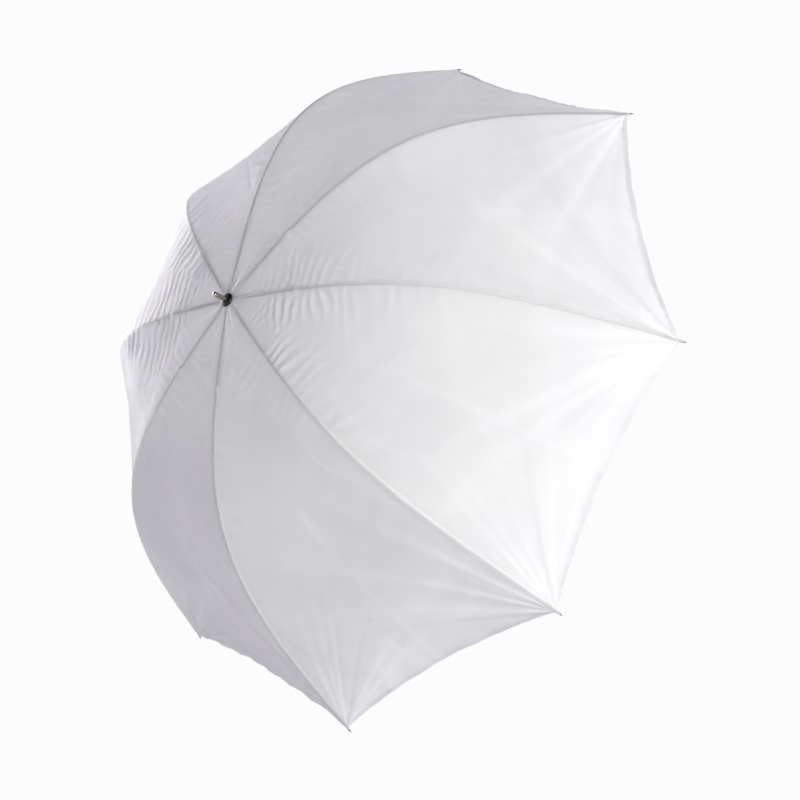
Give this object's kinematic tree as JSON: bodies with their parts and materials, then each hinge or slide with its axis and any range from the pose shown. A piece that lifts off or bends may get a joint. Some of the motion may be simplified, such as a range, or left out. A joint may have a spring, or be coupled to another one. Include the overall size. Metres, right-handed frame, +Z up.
{
  "type": "umbrella reflector",
  "caption": "White shoot-through photographic umbrella with a curved cloth canopy on steel ribs, a sliding runner with stretchers, and a slim steel shaft.",
  "frame": {"origin": "on the shaft's axis where an umbrella holder grips it, 0.64 m behind the canopy's apex", "axes": "+Y along the shaft from the canopy towards the grip end, +Z up, +X completes the right-handed frame; the first rib points up"},
  "size_m": [1.0134, 0.7905, 1.0134],
  "materials": {
    "white_cloth": "matte white nylon taffeta, translucent",
    "chromed_steel": "bright plated steel",
    "zinc_steel": "zinc-plated pressed steel",
    "spring_steel": "bare spring steel",
    "black_plastic": "moulded, fine satin"
  },
  "bodies": {
    "root": {"shaft_tube": "chromed_steel", "ferrule": "chromed_steel", "top_cap": "black_plastic", "crown": "black_plastic", "crown_wire": "zinc_steel", "stop_pin": "zinc_steel", "catch_pin": "zinc_steel", "end_plug": "black_plastic"},
    "runner": {"runner": "black_plastic", "runner_wire": "zinc_steel"},
    "catch": {"top_catch": "spring_steel"},
    "rib_1": {"rib_1": "zinc_steel", "rib_tip_1": "zinc_steel", "joint_rivet_1": "zinc_steel"},
    "stretcher_1": {"stretcher_1": "zinc_steel"},
    "gore_1": {"gore_1": "white_cloth"},
    "rib_2": {"rib_2": "zinc_steel", "rib_tip_2": "zinc_steel", "joint_rivet_2": "zinc_steel"},
    "stretcher_2": {"stretcher_2": "zinc_steel"},
    "gore_2": {"gore_2": "white_cloth"},
    "rib_3": {"rib_3": "zinc_steel", "rib_tip_3": "zinc_steel", "joint_rivet_3": "zinc_steel"},
    "stretcher_3": {"stretcher_3": "zinc_steel"},
    "gore_3": {"gore_3": "white_cloth"},
    "rib_4": {"rib_4": "zinc_steel", "rib_tip_4": "zinc_steel", "joint_rivet_4": "zinc_steel"},
    "stretcher_4": {"stretcher_4": "zinc_steel"},
    "gore_4": {"gore_4": "white_cloth"},
    "rib_5": {"rib_5": "zinc_steel", "rib_tip_5": "zinc_steel", "joint_rivet_5": "zinc_steel"},
    "stretcher_5": {"stretcher_5": "zinc_steel"},
    "gore_5": {"gore_5": "white_cloth"},
    "rib_6": {"rib_6": "zinc_steel", "rib_tip_6": "zinc_steel", "joint_rivet_6": "zinc_steel"},
    "stretcher_6": {"stretcher_6": "zinc_steel"},
    "gore_6": {"gore_6": "white_cloth"},
    "rib_7": {"rib_7": "zinc_steel", "rib_tip_7": "zinc_steel", "joint_rivet_7": "zinc_steel"},
    "stretcher_7": {"stretcher_7": "zinc_steel"},
    "gore_7": {"gore_7": "white_cloth"},
    "rib_8": {"rib_8": "zinc_steel", "rib_tip_8": "zinc_steel", "joint_rivet_8": "zinc_steel"},
    "stretcher_8": {"stretcher_8": "zinc_steel"},
    "gore_8": {"gore_8": "white_cloth"}
  },
  "joints": [
    {"name": "runner_slide", "type": "slide", "parent": "root", "child": "runner", "axis": [0, 1, 0], "range_m": [0, 0.13151], "deforming": ["top_catch"]},
    {"name": "catch_press", "type": "hinge", "parent": "root", "child": "catch", "pos_m": [0, -0.45868, 0], "axis": [1, 0, 0], "range_deg": [0, 8], "stiffness_Nm_per_rad": 0.6, "springref_deg": -2.86},
    {"name": "rib_1_hinge", "type": "hinge", "parent": "root", "child": "rib_1", "pos_m": [0, -0.633, 0.009], "axis": [-1, 0, 0], "range_deg": [0, 54.5]},
    {"name": "stretcher_1_pivot", "type": "hinge", "parent": "rib_1", "child": "stretcher_1", "pos_m": [0, -0.62916, 0.12367], "axis": [1, 0, 0], "range_deg": [0, 79.81]},
    {"name": "gore_1_pleat", "type": "hinge", "parent": "rib_1", "child": "gore_1", "pos_m": [0.00328, -0.63245, 0.00792], "axis": [0.3456, -0.4297, 0.8343], "range_deg": [0, 40.37], "deforming": ["gore_1"]},
    {"name": "rib_2_hinge", "type": "hinge", "parent": "root", "child": "rib_2", "pos_m": [0.00636, -0.633, 0.00636], "axis": [-0.7071, 0, 0.7071], "range_deg": [0, 54.5]},
    {"name": "stretcher_2_pivot", "type": "hinge", "parent": "rib_2", "child": "stretcher_2", "pos_m": [0.08745, -0.62916, 0.08745], "axis": [0.7071, 0, -0.7071], "range_deg": [0, 79.81]},
    {"name": "gore_2_pleat", "type": "hinge", "parent": "rib_2", "child": "gore_2", "pos_m": [0.00792, -0.63245, 0.00328], "axis": [0.8343, -0.4297, 0.3456], "range_deg": [0, 40.37], "deforming": ["gore_2"]},
    {"name": "rib_3_hinge", "type": "hinge", "parent": "root", "child": "rib_3", "pos_m": [0.009, -0.633, 0], "axis": [0, 0, 1], "range_deg": [0, 54.5]},
    {"name": "stretcher_3_pivot", "type": "hinge", "parent": "rib_3", "child": "stretcher_3", "pos_m": [0.12367, -0.62916, 0], "axis": [0, 0, -1], "range_deg": [0, 79.81]},
    {"name": "gore_3_pleat", "type": "hinge", "parent": "rib_3", "child": "gore_3", "pos_m": [0.00792, -0.63245, -0.00328], "axis": [0.8343, -0.4297, -0.3456], "range_deg": [0, 40.37], "deforming": ["gore_3"]},
    {"name": "rib_4_hinge", "type": "hinge", "parent": "root", "child": "rib_4", "pos_m": [0.00636, -0.633, -0.00636], "axis": [0.7071, 0, 0.7071], "range_deg": [0, 54.5]},
    {"name": "stretcher_4_pivot", "type": "hinge", "parent": "rib_4", "child": "stretcher_4", "pos_m": [0.08745, -0.62916, -0.08745], "axis": [-0.7071, 0, -0.7071], "range_deg": [0, 79.81]},
    {"name": "gore_4_pleat", "type": "hinge", "parent": "rib_4", "child": "gore_4", "pos_m": [0.00328, -0.63245, -0.00792], "axis": [0.3456, -0.4297, -0.8343], "range_deg": [0, 40.37], "deforming": ["gore_4"]},
    {"name": "rib_5_hinge", "type": "hinge", "parent": "root", "child": "rib_5", "pos_m": [0, -0.633, -0.009], "axis": [1, 0, 0], "range_deg": [0, 54.5]},
    {"name": "stretcher_5_pivot", "type": "hinge", "parent": "rib_5", "child": "stretcher_5", "pos_m": [0, -0.62916, -0.12367], "axis": [-1, 0, 0], "range_deg": [0, 79.81]},
    {"name": "gore_5_pleat", "type": "hinge", "parent": "rib_5", "child": "gore_5", "pos_m": [-0.00328, -0.63245, -0.00792], "axis": [-0.3456, -0.4297, -0.8343], "range_deg": [0, 40.37], "deforming": ["gore_5"]},
    {"name": "rib_6_hinge", "type": "hinge", "parent": "root", "child": "rib_6", "pos_m": [-0.00636, -0.633, -0.00636], "axis": [0.7071, 0, -0.7071], "range_deg": [0, 54.5]},
    {"name": "stretcher_6_pivot", "type": "hinge", "parent": "rib_6", "child": "stretcher_6", "pos_m": [-0.08745, -0.62916, -0.08745], "axis": [-0.7071, 0, 0.7071], "range_deg": [0, 79.81]},
    {"name": "gore_6_pleat", "type": "hinge", "parent": "rib_6", "child": "gore_6", "pos_m": [-0.00792, -0.63245, -0.00328], "axis": [-0.8343, -0.4297, -0.3456], "range_deg": [0, 40.37], "deforming": ["gore_6"]},
    {"name": "rib_7_hinge", "type": "hinge", "parent": "root", "child": "rib_7", "pos_m": [-0.009, -0.633, 0], "axis": [0, 0, -1], "range_deg": [0, 54.5]},
    {"name": "stretcher_7_pivot", "type": "hinge", "parent": "rib_7", "child": "stretcher_7", "pos_m": [-0.12367, -0.62916, 0], "axis": [0, 0, 1], "range_deg": [0, 79.81]},
    {"name": "gore_7_pleat", "type": "hinge", "parent": "rib_7", "child": "gore_7", "pos_m": [-0.00792, -0.63245, 0.00328], "axis": [-0.8343, -0.4297, 0.3456], "range_deg": [0, 40.37], "deforming": ["gore_7"]},
    {"name": "rib_8_hinge", "type": "hinge", "parent": "root", "child": "rib_8", "pos_m": [-0.00636, -0.633, 0.00636], "axis": [-0.7071, 0, -0.7071], "range_deg": [0, 54.5]},
    {"name": "stretcher_8_pivot", "type": "hinge", "parent": "rib_8", "child": "stretcher_8", "pos_m": [-0.08745, -0.62916, 0.08745], "axis": [0.7071, 0, 0.7071], "range_deg": [0, 79.81]},
    {"name": "gore_8_pleat", "type": "hinge", "parent": "rib_8", "child": "gore_8", "pos_m": [-0.00328, -0.63245, 0.00792], "axis": [-0.3456, -0.4297, 0.8343], "range_deg": [0, 40.37], "deforming": ["gore_8"]}
  ],
  "couplings": [
    {"joint": "rib_1_hinge", "follows": "runner_slide", "rad_per_m": 7.2329},
    {"joint": "stretcher_1_pivot", "follows": "runner_slide", "rad_per_m": 10.591},
    {"joint": "gore_1_pleat", "follows": "runner_slide", "rad_per_m": 5.3572},
    {"joint": "rib_2_hinge", "follows": "runner_slide", "rad_per_m": 7.2329},
    {"joint": "stretcher_2_pivot", "follows": "runner_slide", "rad_per_m": 10.591},
    {"joint": "gore_2_pleat", "follows": "runner_slide", "rad_per_m": 5.3572},
    {"joint": "rib_3_hinge", "follows": "runner_slide", "rad_per_m": 7.2329},
    {"joint": "stretcher_3_pivot", "follows": "runner_slide", "rad_per_m": 10.591},
    {"joint": "gore_3_pleat", "follows": "runner_slide", "rad_per_m": 5.3572},
    {"joint": "rib_4_hinge", "follows": "runner_slide", "rad_per_m": 7.2329},
    {"joint": "stretcher_4_pivot", "follows": "runner_slide", "rad_per_m": 10.591},
    {"joint": "gore_4_pleat", "follows": "runner_slide", "rad_per_m": 5.3572},
    {"joint": "rib_5_hinge", "follows": "runner_slide", "rad_per_m": 7.2329},
    {"joint": "stretcher_5_pivot", "follows": "runner_slide", "rad_per_m": 10.591},
    {"joint": "gore_5_pleat", "follows": "runner_slide", "rad_per_m": 5.3572},
    {"joint": "rib_6_hinge", "follows": "runner_slide", "rad_per_m": 7.2329},
    {"joint": "stretcher_6_pivot", "follows": "runner_slide", "rad_per_m": 10.591},
    {"joint": "gore_6_pleat", "follows": "runner_slide", "rad_per_m": 5.3572},
    {"joint": "rib_7_hinge", "follows": "runner_slide", "rad_per_m": 7.2329},
    {"joint": "stretcher_7_pivot", "follows": "runner_slide", "rad_per_m": 10.591},
    {"joint": "gore_7_pleat", "follows": "runner_slide", "rad_per_m": 5.3572},
    {"joint": "rib_8_hinge", "follows": "runner_slide", "rad_per_m": 7.2329},
    {"joint": "stretcher_8_pivot", "follows": "runner_slide", "rad_per_m": 10.591},
    {"joint": "gore_8_pleat", "follows": "runner_slide", "rad_per_m": 5.3572}
  ]
}
